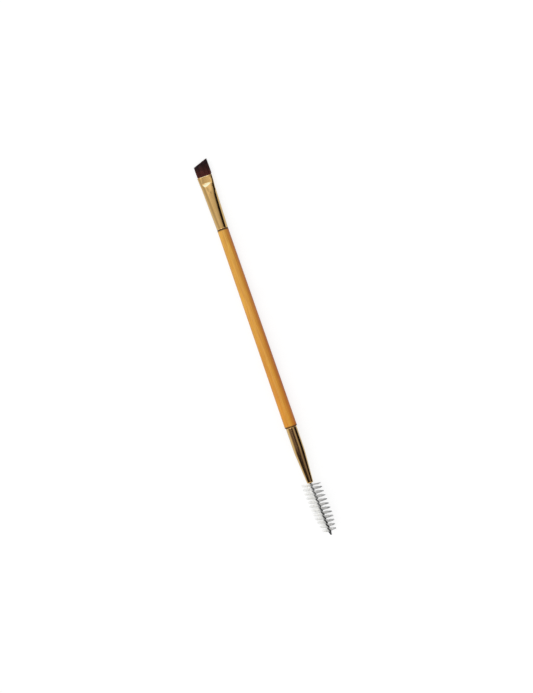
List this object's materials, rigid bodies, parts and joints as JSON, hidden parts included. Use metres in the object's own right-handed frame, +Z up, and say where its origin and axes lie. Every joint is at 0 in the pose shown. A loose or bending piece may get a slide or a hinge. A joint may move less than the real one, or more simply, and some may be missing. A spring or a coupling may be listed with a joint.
{
  "type": "eyebrow brush",
  "caption": "Slim wooden eyebrow brush with a slant-cut flat head in a pressed ferrule at one end and a twisted-wire spoolie in a tapered ferrule at the other.",
  "frame": {"origin": "centre of the underside of the bounding box, on the table that the brush lies on", "axes": "+X along the brush toward the slant-cut flat head, +Y toward the short side of the slanted hair, +Z up, away from the table and out of the flat side of the head"},
  "size_m": [0.1744, 0.0094, 0.0086],
  "materials": {
    "lacquered_wood": "honey-coloured wood with fine lengthwise grain under a clear gloss lacquer",
    "gold_metal": "polished, pale gold anodised",
    "dark_hair": "very dark brown synthetic hair with a soft sheen",
    "glue": "cured clear-amber adhesive, hidden",
    "steel_wire": "dull drawn steel",
    "clear_nylon": "white, slightly translucent nylon filament"
  },
  "bodies": {
    "root": {"handle": "lacquered_wood", "front_ferrule": "gold_metal", "hair_tuft": "dark_hair", "hair_glue_plug": "glue", "rear_ferrule": "gold_metal", "wire_glue_plug": "glue", "core_wire": "steel_wire", "spoolie_bristles": "clear_nylon"}
  },
  "joints": []
}
